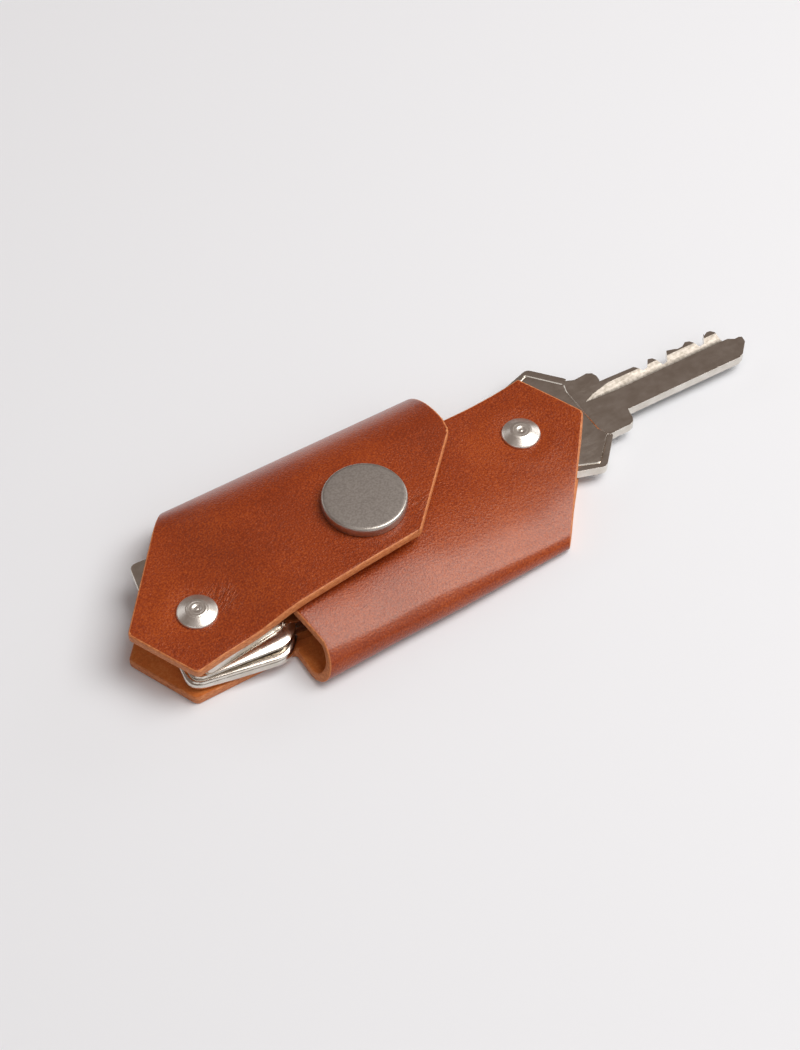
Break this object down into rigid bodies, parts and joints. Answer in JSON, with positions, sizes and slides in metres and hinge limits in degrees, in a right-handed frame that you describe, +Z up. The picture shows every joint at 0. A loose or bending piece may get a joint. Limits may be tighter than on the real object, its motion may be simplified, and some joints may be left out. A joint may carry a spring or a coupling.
{
  "type": "key organiser",
  "caption": "Folded leather wrap that holds swinging keys flat on a screwed post at each end and closes with a flat-capped snap; one key is swung out.",
  "frame": {"origin": "on the flat underside of the leather, straight below the centre of the snap", "axes": "+Z up through the snap; +X along the wallet towards the key that is swung out; +Y towards the back fold"},
  "size_m": [0.1404, 0.0486, 0.0159],
  "materials": {
    "hide": "cognac vegetable-tanned, lightly waxed",
    "post_metal": "turned and nickel-plated",
    "snap_cap_metal": "bead-blasted nickel plate, polished rim",
    "snap_metal": "pressed brass, nickel-plated",
    "spring_wire": "drawn spring wire",
    "key_metal": "nickel silver, handled",
    "washer_steel": "zinc-plated"
  },
  "bodies": {
    "wallet": {"base_panel": "hide", "front_fold": "hide", "back_fold": "hide", "lower_flap": "hide", "upper_flap": "hide", "left_post_barrel": "post_metal", "left_post_screw": "post_metal", "right_post_barrel": "post_metal", "right_post_screw": "post_metal", "snap_stud": "snap_metal", "snap_eyelet": "snap_metal", "right_washer_lower": "washer_steel", "right_washer_upper": "washer_steel"},
    "lifting_flap": {"snap_flap": "hide", "snap_cap": "snap_cap_metal", "snap_socket": "snap_metal", "socket_spring": "spring_wire"},
    "lower_left_key": {"left_key_lower": "key_metal"},
    "middle_left_key": {"left_key_middle": "key_metal"},
    "upper_left_key": {"left_key_upper": "key_metal"},
    "swung_out_key": {"right_key": "key_metal"}
  },
  "joints": [
    {"name": "snap_flap_lift", "type": "hinge", "parent": "wallet", "child": "lifting_flap", "pos_m": [-0.00364, 0.00801, 0.0137], "axis": [-0.9107, -0.4131, 0], "range_deg": [0, 60]},
    {"name": "lower_left_key_swing", "type": "hinge", "parent": "wallet", "child": "lower_left_key", "pos_m": [-0.037, -0.00275, 0.003], "axis": [0, 0, 1], "range_deg": [-172, 0], "deforming": ["front_fold"]},
    {"name": "middle_left_key_swing", "type": "hinge", "parent": "wallet", "child": "middle_left_key", "pos_m": [-0.037, -0.00275, 0.0053], "axis": [0, 0, 1], "range_deg": [-177, 0], "deforming": ["front_fold"]},
    {"name": "upper_left_key_swing", "type": "hinge", "parent": "wallet", "child": "upper_left_key", "pos_m": [-0.037, -0.00275, 0.0072], "axis": [0, 0, 1], "range_deg": [-180, 0], "deforming": ["front_fold"]},
    {"name": "swung_out_key_swing", "type": "hinge", "parent": "wallet", "child": "swung_out_key", "pos_m": [0.037, 0.00275, 0.00335], "axis": [0, 0, 1], "range_deg": [0, 176], "deforming": ["back_fold"]}
  ]
}
